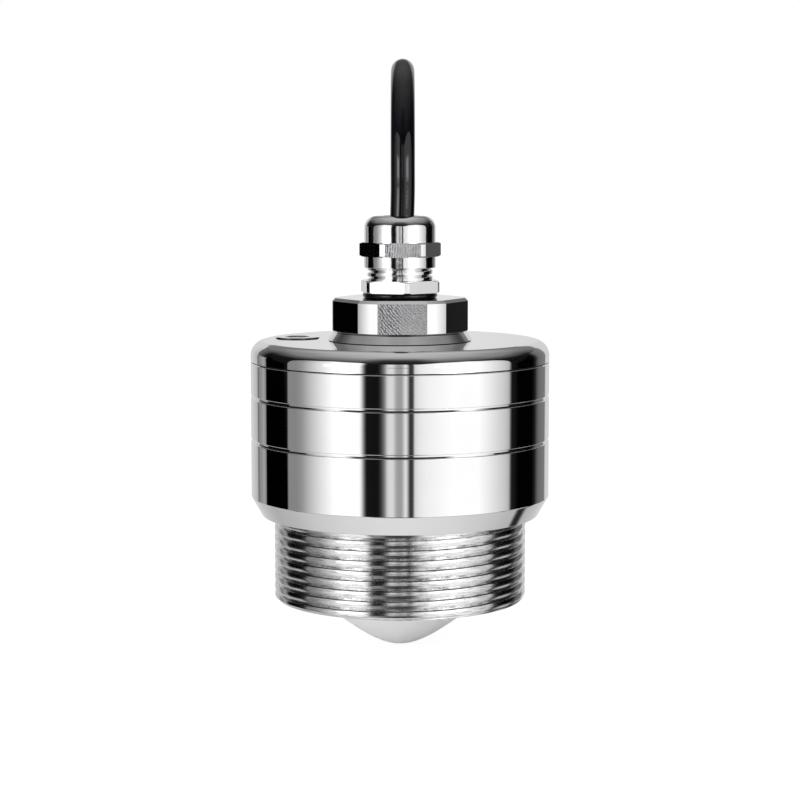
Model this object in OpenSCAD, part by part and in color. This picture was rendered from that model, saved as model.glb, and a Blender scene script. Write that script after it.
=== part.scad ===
// Compact radar level gauge: a lens antenna in a 2 inch pipe-threaded stainless housing,
// with a screwed cap, a wrench adapter and a metal cable gland.
// Millimetres. The origin is the centre of the seat face above the thread, +Z goes towards the cable.

/* [Housing] */
// Outside diameter of the housing and the cap
housing_d = 70.4; // [68:0.2:76]
// Height of the housing's rim above the seat
housing_h = 36.2; // [35:0.1:44]
// Thickness of the housing's wall
wall = 3.85; // [3:0.05:5]
// Height of the inner floor above the seat
floor_h = 8; // [7:0.25:10]
// Diameter of the seat face
seat_d = 65.4; // [63:0.2:67]
// Height of the conical edge above the seat
chamfer_h = 4.5; // [2:0.25:6.5]
// Width of the two turned grooves
groove_w = 0.65; // [0.3:0.05:1.2]
// Depth of the two turned grooves
groove_depth = 0.5; // [0.2:0.05:1]
// Height of the lower groove above the seat
groove_low_h = 17.6; // [12:0.1:22]
// Height of the upper groove above the seat
groove_high_h = 27.9; // [24:0.1:31]

/* [Process thread] */
// Outside diameter of the thread
thread_d = 59.6; // [59:0.1:62]
// Length of the thread below the seat
thread_length = 20; // [20:0.5:30]
// Distance from crest to crest
thread_pitch = 2.309; // [2:0.001:3.2]
// Depth of the thread
thread_depth = 1.48; // [0.8:0.02:1.6]
// Size of the bevel at the thread's end
thread_bevel = 0.7; // [0.2:0.1:1]

/* [Lens] */
// Diameter of the bore that takes the lens
lens_bore_d = 50; // [46:0.5:51]
// Width of the lip that the lens rests on
lip_w = 3; // [2:0.25:5]
// Height of that lip
lip_h = 6; // [4:0.25:8]
// How far the lens stands out of the thread's end
lens_reach = 11.5; // [8:0.25:14]
// Radius of the lens at its tip
lens_tip_r = 10.5; // [8:0.25:13]
// How open the lens's hyperbola is
lens_open = 1.2; // [0.8:0.05:1.6]
// Thickness of the lens's flange
lens_flange_h = 5.8; // [5:0.1:7]
// Section of the lens's sealing ring
lens_seal_d = 2.1; // [1.6:0.1:2.4]

/* [Horn] */
// Height of the threaded ring that holds the lens
retainer_h = 4; // [3:0.25:5]
// Diameter of the horn's mouth
horn_mouth_d = 39; // [32:0.5:41]
// Diameter of the horn's throat
horn_throat_d = 3; // [2:0.2:5]
// Thickness of the horn's flange
horn_flange_h = 3; // [3:0.25:4]

/* [Boards] */
// Clearance between the circuit boards and the wall
board_clear = 0.6; // [0.3:0.1:1.5]
// Thickness of the boards
board_t = 1.6; // [1:0.2:2]
// Room between the upper board and the cap
board_room = 7.6; // [6.8:0.1:8.5]
// Distance of the board screws from the wall
screw_edge = 5.85; // [4.5:0.05:6.5]
// Diameter of the board screws
screw_d = 2.5; // [2:0.1:3]
// Outside diameter of the spacers between the boards
spacer_d = 5; // [4:0.25:6]
// Length of the plug that joins the boards
link_l = 16; // [12:0.5:18]
// Width of the plug that joins the boards
link_w = 5; // [3:0.25:5.5]
// Width of the radar chip
chip_w = 9; // [6:0.5:11]
// Height of the radar chip
chip_h = 0.9; // [0.6:0.1:1.4]
// Size of the shielding can
shield_w = 20; // [16:0.5:24]
// Height of the shielding can
shield_h = 4; // [3:0.25:5.5]
// Wall of the shielding can
shield_t = 0.4; // [0.3:0.1:0.6]
// Diameter of the capacitors
capacitor_d = 6.3; // [5:0.1:6.5]
// Height of the capacitors
capacitor_h = 5.5; // [4:0.1:6]
// Length of the transformer
transformer_l = 11; // [8:0.25:12]
// Width of the transformer
transformer_w = 9; // [7:0.25:10]
// Height of the transformer
transformer_h = 6; // [4.5:0.1:6.4]
// Length of the terminal block
terminal_l = 12; // [11:0.25:13]
// Width of the terminal block
terminal_w = 8; // [6.5:0.25:8.5]
// Height of the terminal block
terminal_h = 6; // [5:0.1:6.4]

/* [Cap] */
// Thickness of the cap's top
cap_h = 5; // [4.8:0.1:8]
// Rounding of the cap's edge
cap_round = 3.5; // [1:0.25:4.5]
// Height of the seam between the cap and the housing
seam_h = 0.3; // [0.15:0.05:0.5]
// Depth of that seam
seam_depth = 0.5; // [0.2:0.05:0.8]
// Length of the spigot that goes into the housing
spigot_h = 5; // [4.5:0.1:5.5]
// Section of the cap's sealing ring
cap_seal_d = 1.9; // [1.5:0.1:2.1]
// Diameter of the socket plug's head
plug_d = 10.4; // [9:0.1:11.5]
// Diameter of the socket plug's thread
plug_screw_d = 6; // [5.6:0.2:7]
// Height of the socket plug's head
plug_head_h = 2.7; // [2.4:0.1:3]
// How far the head stands above the cap
plug_rise = 0.3; // [0:0.1:0.8]
// Place of the socket plug from the adapter's foot, 0, to the cap's seal, 1
plug_place = 0.69; // [0.3:0.01:0.9]
// Direction of the socket plug seen from above
plug_turn = 167; // [150:1:180]
// Width across the socket's flats
plug_socket = 5; // [4:0.25:5.5]
// Depth of the socket
plug_socket_h = 2.2; // [1.6:0.1:2.3]

/* [Adapter] */
// Diameter of the adapter's rounded corners
adapter_d = 32.1; // [31:0.1:34]
// Width across the adapter's flats
adapter_af = 30.1; // [28:0.1:30.8]
// Height of the adapter above the cap
adapter_h = 10; // [8:0.25:14]
// Diameter of the flared foot
flare_d = 34; // [32:0.25:37]
// Height of the flared foot
flare_h = 2.4; // [1.5:0.1:3.5]
// Bevel round the adapter's top
adapter_bevel = 0.7; // [0.3:0.05:1]
// Diameter of the adapter's shank in the cap
shank_d = 20; // [18:0.25:22]
// Diameter of the cable's way through the adapter
passage_d = 10; // [8:0.25:11]
// Turn of the adapter's flats
adapter_turn = 1.7; // [-30:0.1:30]

/* [Gland] */
// Diameter of the gland's threads
gland_thread_d = 15.4; // [15:0.1:16]
// Pitch of the gland's threads
gland_pitch = 1.41; // [1:0.01:1.6]
// Length of the gland's thread in the adapter
entry_l = 7; // [5:0.25:8]
// Height of the sealing ring under the gland
gasket_h = 1.25; // [0.8:0.05:2]
// Outside diameter of the sealing ring under the gland
gasket_d = 17.9; // [17:0.1:19]
// Width across the flats of the gland's body
body_af = 17; // [16.5:0.1:19]
// Height of the body's hexagon
body_hex_h = 2.85; // [2:0.05:5]
// Turn of the body's hexagon
body_turn = 38; // [0:1:60]
// Length of thread that shows below the nut
gland_gap = 2.9; // [1:0.1:4]
// Length of thread inside the nut
nut_grip = 4.3; // [3.5:0.1:4.5]
// Wall of the body round the rubber seal
gland_wall = 1.5; // [1.2:0.05:1.7]
// Height of the seal's seat above the body's hexagon
seal_rise = 1.8; // [1:0.1:2.5]
// Height of the nut's crown above the claw
crown_h = 2.6; // [2.2:0.1:3.2]
// Outside diameter of the nut's round stretches
nut_d = 16.75; // [16.5:0.05:18]
// Width across the nut's flats
nut_af = 17.25; // [17:0.05:18.5]
// Diameter of the nut's rounded corners
nut_corner_d = 19.15; // [18.8:0.05:20]
// Height of the nut's skirt
nut_skirt_h = 2.65; // [1:0.05:4]
// Height of the nut's hexagon
nut_hex_h = 3.35; // [2.5:0.05:5]
// Height of the nut's dome above its hexagon
nut_dome_h = 6.15; // [5.9:0.05:8]
// Rounding of the nut's dome
nut_round = 2.5; // [1:0.1:3]
// Turn of the nut's flats
nut_turn = 3; // [-30:1:30]
// Number of fingers on the clamping claw
claw_fingers = 8; // [6:1:10]
// Width of the slots between the fingers
claw_slot_w = 0.8; // [0.5:0.05:1.2]

/* [Cable] */
// Diameter of the cable
cable_d = 5.7; // [5:0.1:5.8]
// Diameter of the cable's coil at the middle of its turns
coil_mid_d = 62; // [58:1:66]
// Turns beside and over each other in the coil
coil_rows = 3; // [2:1:3]
// Diameter of one insulated core
core_d = 1.3; // [1:0.1:1.5]

/* [Hidden] */
e = 0.02;
housing_r = housing_d / 2;
inner_r = housing_r - wall;
thread_r = thread_d / 2;
bore_r = lens_bore_d / 2;
lip_r = bore_r - lip_w;
thread_end = -thread_length;
lip_z = thread_end + lip_h;
crest_w = 0.385;
groove_first = 1.75;
groove_count = floor((thread_length - groove_first - 1) / thread_pitch) + 1;

lens_tip_z = thread_end - lens_reach;
lens_neck_r = lip_r - 0.05;
lens_back_z = lip_z + lens_flange_h;
lens_seal_z = lip_z + lens_flange_h * 0.55;
retainer_top = lens_back_z + retainer_h;
horn_top = floor_h + horn_flange_h;

cap_top = housing_h + cap_h;
spigot_r = inner_r - 0.05;
cap_foot = housing_h - spigot_h;
cap_seal_z = housing_h - spigot_h * 0.42;

board_d = 2 * (inner_r - board_clear);
board_1 = horn_top;
board_1_top = board_1 + board_t;
board_2_top = cap_foot - board_room;
board_2 = board_2_top - board_t;
board_gap = board_2 - board_1_top;
screw_ring_r = inner_r - screw_edge;
screws = 3;
core_gap = 2.8;

plug_in = flare_d / 2 + plug_d / 2;
plug_out = spigot_r - cap_seal_d - plug_screw_d / 2;
plug_r = plug_in + (plug_out - plug_in) * plug_place;
plug_foot = cap_top + plug_rise - plug_head_h;
pocket_in = shank_d / 2 + 3.4;
pocket_r = plug_r - plug_screw_d / 2 - 3.1;
plug_x = plug_r * cos(plug_turn);
plug_y = plug_r * sin(plug_turn);

adapter_top = cap_top + adapter_h;
flare_neck_r = adapter_af / 2 + 0.2;
shank_r = shank_d / 2;
gland_r = gland_thread_d / 2;
entry_r = gland_r - 0.1;
gasket_top = adapter_top + gasket_h;
hex_top = gasket_top + body_hex_h;
nut_z = hex_top + gland_gap;
nut_hex_z = nut_z + nut_skirt_h;
nut_dome_z = nut_hex_z + nut_hex_h;
nut_top = nut_dome_z + nut_dome_h;
tube_top = nut_z + nut_grip;
seal_foot = hex_top + seal_rise;
seal_r = gland_r - gland_wall;
claw_top = nut_top - crown_h;
exit_r = cable_d / 2 + 0.8;

cable_r = cable_d / 2;
strip_z = adapter_top - entry_l - 0.2;
coil_r = coil_mid_d / 2;
coil_half = coil_rows * cable_d / 2;
coil_y = 82.7;
coil_z = lens_tip_z + coil_r + coil_half;
side_x = coil_half + cable_r;

// The cable's way out of the gland, over and down to the coil behind the housing.
ROUTE = [
    [0, 0, 0], [0, 0, 10], [0.2, 0, 20], [0.5, 0, 26], [0.65, 0, 32], [0.65, 0, 38],
    [0.65, 1.8, 46.8], [0.65, 6.7, 54.3], [0.65, 14.2, 59.2], [0.65, 23, 61],
    [0.65, 31.8, 59.2], [0.65, 39.3, 54.3], [0.65, 44.2, 46.8], [0.65, 46, 38],
    [0.65, 46, 31], [0.3, 46, 23], [-0.8, 46, 14], [-2.4, 46, 5.5],
    [-4.1, 46, -3], [-5.3, 46, -9], [-5.7, 46, -15.4]
];

// The free end of the cable, from the side of the coil.
TAIL = [[11.4, 51.7, 7.95], [11.4, 51.7, -1], [11.4, 51.7, -9]];

function unit(v) = v / norm(v);
function along(p, i) =
    unit(p[min(i + 1, len(p) - 1)] - p[max(i - 1, 0)]);
function across(t) =
    unit(cross(t, abs(t[0]) < 0.9 ? [1, 0, 0] : [0, 1, 0]));
function ring(p, i, r, n) =
    let (t = along(p, i), u = across(t), v = cross(t, u))
    [for (k = [0 : n - 1]) p[i] + r * (cos(360 * k / n) * u + sin(360 * k / n) * v)];

// A round tube swept along a list of points.
module tube(p, d, n) {
    m = len(p);
    points = [for (i = [0 : m - 1]) each ring(p, i, d / 2, n)];
    sides = [
        for (i = [0 : m - 2])
            for (k = [0 : n - 1])
                each [
                    [i * n + k, i * n + (k + 1) % n, (i + 1) * n + k],
                    [i * n + (k + 1) % n, (i + 1) * n + (k + 1) % n, (i + 1) * n + k]
                ]
    ];
    foot = [for (k = [0 : n - 1]) n - 1 - k];
    head = [for (k = [0 : n - 1]) (m - 1) * n + k];
    polyhedron(points = points, faces = concat([foot], sides, [head]));
}

module hexagon(af, h) {
    cylinder(h = h, d = af / cos(30), $fn = 6);
}

module torus(r, section) {
    rotate_extrude()
    translate([r, 0])
    circle(d = section, $fn = 32);
}

// V grooves side by side, as the section of a thread of this radius, going down from the origin.
module thread_grooves(r, pitch, depth, count) {
    half = (pitch - pitch / 6) / 2;
    for (i = [0 : count - 1])
        translate([0, 0, -i * pitch])
        rotate_extrude()
        polygon([
            [r + 0.3, -half - 0.15], [r, -half], [r - depth, -pitch / 12],
            [r - depth, pitch / 12], [r, half], [r + 0.3, half + 0.15]
        ]);
}

module at_screws() {
    for (i = [0 : screws - 1])
        rotate([0, 0, 30 + i * 360 / screws])
        translate([screw_ring_r, 0, 0])
        children();
}

module housing() {
    color("silver")
    difference() {
        rotate_extrude()
        polygon([
            [lip_r, thread_end], [thread_r - thread_bevel, thread_end],
            [thread_r, thread_end + thread_bevel], [thread_r, 0], [seat_d / 2, 0],
            [housing_r, chamfer_h], [housing_r, housing_h], [inner_r, housing_h],
            [inner_r, floor_h], [bore_r, floor_h], [bore_r, lip_z], [lip_r, lip_z]
        ]);
        translate([0, 0, -groove_first])
        thread_grooves(thread_r, thread_pitch, thread_depth, groove_count);
        for (z = [groove_low_h, groove_high_h])
            translate([0, 0, z])
            rotate_extrude()
            translate([housing_r - groove_depth, 0])
            square([groove_depth + 1, groove_w]);
    }
}

function lens_r(s) = sqrt(2 * lens_tip_r * s + lens_open * s * s);
lens_depth = (sqrt(lens_tip_r * lens_tip_r + lens_open * lens_neck_r * lens_neck_r) - lens_tip_r)
    / lens_open;

module lens() {
    steps = 24;
    color("white")
    difference() {
        rotate_extrude()
        polygon(concat(
            [for (i = [0 : steps])
                let (s = lens_depth * pow(i / steps, 2))
                [lens_r(s), lens_tip_z + s]],
            [
                [lens_neck_r, lip_z], [bore_r - 0.05, lip_z],
                [bore_r - 0.05, lens_back_z], [0, lens_back_z]
            ]
        ));
        translate([0, 0, lens_seal_z])
        rotate_extrude()
        translate([bore_r - lens_seal_d, -lens_seal_d / 2 - 0.15])
        square([lens_seal_d + 1, lens_seal_d + 0.3]);
    }
}

module lens_seal() {
    color("black")
    translate([0, 0, lens_seal_z])
    torus(bore_r - lens_seal_d / 2, lens_seal_d - 2 * e);
}

module lens_retainer() {
    color("gold")
    translate([0, 0, lens_back_z])
    difference() {
        cylinder(h = retainer_h, r = bore_r - 0.05);
        translate([0, 0, -1])
        cylinder(h = retainer_h + 2, d = horn_mouth_d);
        for (a = [0, 180])
            rotate([0, 0, a])
            translate([(bore_r + horn_mouth_d / 2) / 2, 0, retainer_h - 2])
            cylinder(h = 3, d = 2.4);
    }
}

module horn() {
    color("gainsboro")
    difference() {
        rotate_extrude()
        polygon([
            [horn_mouth_d / 2, retainer_top], [bore_r - 0.05, retainer_top],
            [bore_r - 0.05, floor_h], [inner_r - 0.1, floor_h],
            [inner_r - 0.1, horn_top], [horn_throat_d / 2, horn_top],
            [horn_throat_d / 2, floor_h + 1]
        ]);
        at_screws()
        translate([0, 0, floor_h + 0.8])
        cylinder(h = horn_flange_h, d = screw_d);
    }
}

module board(z) {
    translate([0, 0, z])
    difference() {
        cylinder(h = board_t, d = board_d);
        at_screws()
        translate([0, 0, -1])
        cylinder(h = board_t + 2, d = screw_d + 0.2);
    }
}

module radar_board() {
    color("darkgreen")
    board(board_1);
}

module radar_chip() {
    color("dimgray")
    translate([-chip_w / 2, -chip_w / 2, board_1_top])
    cube([chip_w, chip_w, chip_h]);
}

module radar_shield() {
    color("lightgray")
    translate([0, 0, board_1_top])
    difference() {
        translate([-shield_w / 2, -shield_w / 2, 0])
        cube([shield_w, shield_w, shield_h]);
        translate([shield_t - shield_w / 2, shield_t - shield_w / 2, -1])
        cube([shield_w - 2 * shield_t, shield_w - 2 * shield_t, shield_h + 1 - shield_t]);
    }
}

module board_link() {
    color("black")
    translate([-link_l / 2, spacer_d / 2 + 3 - screw_ring_r, board_1_top])
    cube([link_l, link_w, board_gap]);
}

module board_spacers() {
    color("khaki")
    at_screws()
    translate([0, 0, board_1_top])
    difference() {
        cylinder(h = board_gap, d = spacer_d);
        translate([0, 0, -1])
        cylinder(h = board_gap + 2, d = screw_d + 0.2);
    }
}

module board_screws() {
    color("silver")
    at_screws()
    difference() {
        union() {
            translate([0, 0, floor_h + 1])
            cylinder(h = board_2_top - floor_h - 1, d = screw_d - 0.04);
            translate([0, 0, board_2_top])
            cylinder(h = 1.8, d = screw_d + 2);
        }
        translate([0, 0, board_2_top + 0.7])
        hexagon(screw_d * 0.6, 2);
    }
}

module power_board() {
    color("darkgreen")
    board(board_2);
}

module capacitors() {
    color("navy")
    for (i = [-1 : 1])
        translate([
            i * (capacitor_d + 1.2) - 6.5, -terminal_w / 2 - capacitor_d / 2 - 7.35, board_2_top
        ])
        cylinder(h = capacitor_h, d = capacitor_d);
}

module transformer() {
    color("orange")
    translate([terminal_l / 2 + 2, -transformer_l / 2 - 3.5, board_2_top])
    union() {
        cube([transformer_w, transformer_l, 1.2]);
        translate([1, 1.5, 1.2])
        cube([transformer_w - 2, transformer_l - 3, transformer_h - 2.4]);
        translate([0, 0, transformer_h - 1.2])
        cube([transformer_w, transformer_l, 1.2]);
    }
}

module terminal_block() {
    color("limegreen")
    translate([0, 0, board_2_top])
    difference() {
        translate([-terminal_l / 2, -terminal_w / 2, 0])
        cube([terminal_l, terminal_w, terminal_h]);
        for (i = [-1.5 : 1.5])
            translate([i * core_gap, 0, terminal_h / 2])
            cylinder(h = terminal_h, d = core_d + 0.2);
        for (i = [-1.5 : 1.5])
            translate([i * core_gap, -terminal_w / 2 - 1, terminal_h * 0.3])
            rotate([-90, 0, 0])
            cylinder(h = 3, d = 1.2);
    }
}

module inner_cores() {
    color("tan")
    for (i = [0 : 3]) {
        x = (i - 1.5) * core_gap;
        bx = i < 2 ? -0.95 : 0.95;
        by = i % 3 == 0 ? 0.95 : -0.95;
        tube([
            [x, 0, board_2_top + terminal_h / 2 + 0.2], [x, 0, board_2_top + terminal_h + 1],
            [x * 0.6 + bx * 0.4, by * 0.5, strip_z - 8],
            [bx, by, strip_z - 3], [bx, by, strip_z]
        ], core_d, 8);
    }
}

module cap() {
    color("silver")
    difference() {
        rotate_extrude()
        difference() {
            union() {
                translate([0, housing_h])
                square([housing_r - cap_round, cap_h]);
                translate([0, housing_h])
                square([housing_r, cap_h - cap_round]);
                intersection() {
                    translate([housing_r - cap_round, cap_top - cap_round])
                    circle(r = cap_round, $fn = 96);
                    translate([0, housing_h])
                    square([housing_d, cap_h]);
                }
                translate([0, cap_foot])
                square([spigot_r, spigot_h + 1]);
            }
            translate([0, cap_foot - 10])
            square([housing_r + 1, 10]);
            translate([pocket_in, cap_foot - 1])
            square([pocket_r - pocket_in, spigot_h + 1.5]);
            translate([spigot_r - cap_seal_d, cap_seal_z - cap_seal_d / 2 - 0.15])
            square([cap_seal_d + 1, cap_seal_d + 0.3]);
            translate([housing_r - seam_depth, housing_h - 1])
            square([seam_depth + 1, seam_h + 1]);
        }
        translate([0, 0, cap_foot - 1])
        cylinder(h = cap_top - cap_foot + 2, r = shank_r + 0.05);
        translate([plug_x, plug_y, cap_foot - 1])
        cylinder(h = cap_top - cap_foot + 2, d = plug_screw_d + 0.1);
        translate([plug_x, plug_y, plug_foot - 1])
        cylinder(h = plug_head_h + 2, d = plug_d + 0.1);
    }
}

module cap_seal() {
    color("black")
    translate([0, 0, cap_seal_z])
    torus(inner_r - cap_seal_d / 2 - 0.03, cap_seal_d - 2 * e);
}

module socket_plug() {
    color("silver")
    translate([plug_x, plug_y, 0])
    difference() {
        union() {
            translate([0, 0, cap_foot + 1])
            cylinder(h = plug_foot - cap_foot, d = plug_screw_d);
            translate([0, 0, plug_foot])
            cylinder(h = plug_head_h, d = plug_d);
        }
        translate([0, 0, plug_foot + plug_head_h - plug_socket_h])
        hexagon(plug_socket, plug_socket_h + 1);
    }
}

module plug_seal() {
    color("black")
    translate([plug_x, plug_y, plug_foot - 1])
    difference() {
        cylinder(h = 1, d = plug_d);
        translate([0, 0, -1])
        cylinder(h = 3, d = plug_screw_d + 0.1);
    }
}

module hex_adapter() {
    color("silver")
    difference() {
        union() {
            rotate_extrude()
            polygon([
                [0, cap_foot], [shank_r - 0.6, cap_foot], [shank_r, cap_foot + 0.6],
                [shank_r, cap_top], [flare_d / 2, cap_top],
                [flare_neck_r, cap_top + flare_h], [0, cap_top + flare_h]
            ]);
            intersection() {
                rotate_extrude()
                polygon([
                    [0, cap_top + flare_h - 1], [adapter_d / 2, cap_top + flare_h - 1],
                    [adapter_d / 2, adapter_top - adapter_bevel],
                    [adapter_d / 2 - adapter_bevel, adapter_top], [0, adapter_top]
                ]);
                translate([0, 0, cap_top + flare_h])
                rotate([0, 0, adapter_turn])
                hexagon(adapter_af, adapter_h);
            }
        }
        for (i = [0 : 5])
            rotate([0, 0, adapter_turn + 30 + 60 * i])
            translate([adapter_af / 2, 0, adapter_top - adapter_bevel])
            rotate([0, 45, 0])
            translate([-3, -adapter_d / 2, 0])
            cube([6, adapter_d, 3]);
        translate([0, 0, cap_foot - 1])
        cylinder(h = adapter_top - cap_foot, d = passage_d);
        translate([0, 0, adapter_top - entry_l - 2])
        cylinder(h = entry_l + 3, r = entry_r + 0.05);
        translate([0, 0, cap_top])
        rotate_extrude()
        translate([shank_r + 1.4, -1])
        square([2, 2.4]);
    }
}

module adapter_seal() {
    color("black")
    translate([0, 0, cap_top + 0.7])
    torus(shank_r + 2.4, 1.4 - e);
}

module gland_gasket() {
    color("black")
    translate([0, 0, adapter_top])
    rotate_extrude()
    difference() {
        union() {
            square([gasket_d / 2 - gasket_h / 2, gasket_h]);
            translate([gasket_d / 2 - gasket_h / 2, gasket_h / 2])
            circle(d = gasket_h, $fn = 32);
        }
        translate([-1, -1])
        square([entry_r + 1.1, gasket_h + 2]);
    }
}

module gland_body() {
    turns_up = floor((tube_top - hex_top - 0.4) / gland_pitch);
    color("gainsboro")
    difference() {
        union() {
            translate([0, 0, adapter_top - entry_l])
            cylinder(h = entry_l + gasket_h + 0.5, r = entry_r);
            intersection() {
                translate([0, 0, gasket_top])
                rotate([0, 0, body_turn])
                hexagon(body_af, body_hex_h);
                translate([0, 0, gasket_top])
                rotate_extrude()
                polygon([
                    [0, 0], [body_af / 2 + 1.3, 0], [body_af / 2 + 1.3, body_hex_h - 0.35],
                    [body_af / 2 + 0.4, body_hex_h], [0, body_hex_h]
                ]);
            }
            translate([0, 0, hex_top - 0.5])
            cylinder(h = tube_top - hex_top + 0.5, r = gland_r);
        }
        translate([0, 0, adapter_top - entry_l - 1])
        cylinder(h = tube_top, d = cable_d + 2.3);
        translate([0, 0, seal_foot])
        cylinder(h = tube_top, r = seal_r + 0.05);
        translate([0, 0, tube_top - gland_pitch / 2])
        thread_grooves(gland_r, gland_pitch, 0.65, turns_up);
    }
}

module gland_seal() {
    color("dimgray")
    translate([0, 0, seal_foot])
    rotate_extrude()
    polygon([
        [cable_r, 0], [seal_r, 0], [seal_r, tube_top - seal_foot],
        [seal_r - 1.4, tube_top - seal_foot], [seal_r - 1.4, claw_top - seal_foot - 1.6],
        [seal_r - 2, claw_top - seal_foot - 1], [cable_r, claw_top - seal_foot - 1]
    ]);
}

module gland_claw() {
    color("white")
    difference() {
        translate([0, 0, tube_top])
        rotate_extrude()
        polygon([
            [seal_r - 1.35, 0], [gland_r - 0.3, 0], [gland_r - 0.3, 1],
            [gland_r - 0.9, 1.2], [gland_r - 0.9, claw_top - tube_top - 1.6],
            [seal_r - 0.9, claw_top - tube_top], [seal_r - 1.35, claw_top - tube_top]
        ]);
        for (i = [0 : claw_fingers - 1])
            rotate([0, 0, i * 360 / claw_fingers])
            translate([2, -claw_slot_w / 2, tube_top + 1.3])
            cube([gland_r, claw_slot_w, claw_top - tube_top]);
    }
}

module gland_nut() {
    color("gainsboro")
    difference() {
        union() {
            translate([0, 0, nut_z])
            rotate_extrude()
            polygon([
                [0, 0], [nut_d / 2 - 0.2, 0], [nut_d / 2 + 0.1, 0.3],
                [nut_d / 2 + 0.1, nut_skirt_h + 1], [0, nut_skirt_h + 1]
            ]);
            intersection() {
                translate([0, 0, nut_hex_z])
                rotate([0, 0, nut_turn])
                hexagon(nut_af, nut_hex_h);
                translate([0, 0, nut_hex_z])
                rotate_extrude()
                polygon([
                    [0, 0], [nut_corner_d / 2 - 0.6, 0], [nut_corner_d / 2, 0.3],
                    [nut_corner_d / 2, nut_hex_h - 0.3],
                    [nut_corner_d / 2 - 0.6, nut_hex_h], [0, nut_hex_h]
                ]);
            }
            rotate_extrude()
            union() {
                translate([0, nut_dome_z - 1])
                square([nut_d / 2 - nut_round, nut_dome_h + 1]);
                translate([0, nut_dome_z - 1])
                square([nut_d / 2, nut_dome_h + 1 - nut_round]);
                intersection() {
                    translate([nut_d / 2 - nut_round, nut_top - nut_round])
                    circle(r = nut_round, $fn = 96);
                    square([nut_d, nut_top]);
                }
            }
        }
        rotate_extrude()
        polygon([
            [0, nut_z - 1], [gland_r + 0.05, nut_z - 1], [gland_r + 0.05, tube_top + 0.6],
            [gland_r - 0.1, tube_top + 1.1], [gland_r - 0.85, tube_top + 1.1],
            [gland_r - 0.85, claw_top - 1.6], [seal_r - 0.8, claw_top + 0.05],
            [exit_r, claw_top + 0.05], [exit_r, nut_top - 0.5],
            [exit_r + 0.15, nut_top - 0.15], [exit_r + 0.6, nut_top + 0.1],
            [0, nut_top + 0.1]
        ]);
    }
}

module cable() {
    color("black")
    translate([0, 0, strip_z])
    tube([for (p = ROUTE) p], cable_d, 12);
}

// Stands on its edge behind the housing, as low as the lens, with the ring's own angle 90 at the back.
module as_coil(from, turn) {
    translate([0, coil_y, coil_z])
    rotate([0, 90, 0])
    rotate([0, 0, from])
    rotate_extrude(angle = turn)
    children();
}

module cable_coil() {
    color("black")
    union() {
        as_coil(0, 360)
        translate([coil_r - coil_half, -coil_half])
        square([2 * coil_half, 2 * coil_half]);
        as_coil(20, 250)
        union() {
            translate([coil_r, side_x])
            circle(d = cable_d, $fn = 32);
            translate([coil_r - cable_r, coil_half - 0.5])
            square([cable_d, cable_r + 0.5]);
        }
    }
}

// The strap's outline round the turns, this far outside them.
module strap(gap) {
    k = gap * 0.4;
    polygon([
        [coil_r - coil_half - gap, -coil_half - gap],
        [coil_r + coil_half + gap, -coil_half - gap],
        [coil_r + coil_half + gap, coil_half + k],
        [coil_r + cable_r + k, side_x + cable_r + gap],
        [coil_r - cable_r - k, side_x + cable_r + gap],
        [coil_r - coil_half - gap, coil_half + k]
    ]);
}

module coil_tie() {
    color("black")
    as_coil(82, 16)
    difference() {
        strap(1.1);
        strap(0.05);
    }
}

module cable_tail() {
    color("black")
    tube(TAIL, cable_d, 12);
}

module tail_cores() {
    color("tan")
    for (i = [0 : 3]) {
        a = 45 + i * 90;
        bx = TAIL[2][0] + cos(a) * 1.3;
        by = TAIL[2][1] + sin(a) * 1.3;
        tube([
            [bx, by, TAIL[2][2]], [bx, by, TAIL[2][2] - 4],
            [bx + cos(a) * 0.8, by + sin(a) * 0.8, TAIL[2][2] - 12],
            [bx + cos(a) * 1.1, by + sin(a) * 1.1, TAIL[2][2] - 16]
        ], core_d, 8);
    }
}

module core_ferrules() {
    color("silver")
    for (i = [0 : 3]) {
        a = 45 + i * 90;
        translate([
            TAIL[2][0] + cos(a) * 2.4, TAIL[2][1] + sin(a) * 2.4, TAIL[2][2] - 22
        ])
        cylinder(h = 6, d = 1.1);
    }
}

housing();
lens();
lens_seal();
lens_retainer();
horn();
radar_board();
radar_chip();
radar_shield();
board_link();
board_spacers();
board_screws();
power_board();
capacitors();
transformer();
terminal_block();
inner_cores();
cap();
cap_seal();
socket_plug();
plug_seal();
hex_adapter();
adapter_seal();
gland_gasket();
gland_body();
gland_seal();
gland_claw();
gland_nut();
cable();
cable_coil();
coil_tie();
cable_tail();
tail_cores();
core_ferrules();
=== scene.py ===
import bpy
import bmesh
import math
import numpy as np
from mathutils import Matrix, Vector


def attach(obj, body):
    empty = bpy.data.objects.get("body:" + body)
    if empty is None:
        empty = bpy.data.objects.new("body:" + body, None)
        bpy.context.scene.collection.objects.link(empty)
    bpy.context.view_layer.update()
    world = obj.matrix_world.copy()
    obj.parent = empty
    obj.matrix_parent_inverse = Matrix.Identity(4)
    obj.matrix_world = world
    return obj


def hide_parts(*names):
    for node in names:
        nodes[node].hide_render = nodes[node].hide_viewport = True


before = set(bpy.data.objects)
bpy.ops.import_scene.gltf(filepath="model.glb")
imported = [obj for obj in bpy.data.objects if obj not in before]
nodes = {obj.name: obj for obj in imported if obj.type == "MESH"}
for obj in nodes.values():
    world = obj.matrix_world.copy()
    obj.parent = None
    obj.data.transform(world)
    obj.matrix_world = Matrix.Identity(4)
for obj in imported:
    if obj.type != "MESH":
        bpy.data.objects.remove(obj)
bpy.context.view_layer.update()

MM = 0.001
TAU = 2 * math.pi

# The camera, at the photograph's place and angle, in metres and radians

CAMERA_AT = (0, -0.5055, 0.08236)
CAMERA_TILT = 0.1093
CAMERA_LENS = 96.7

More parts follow.
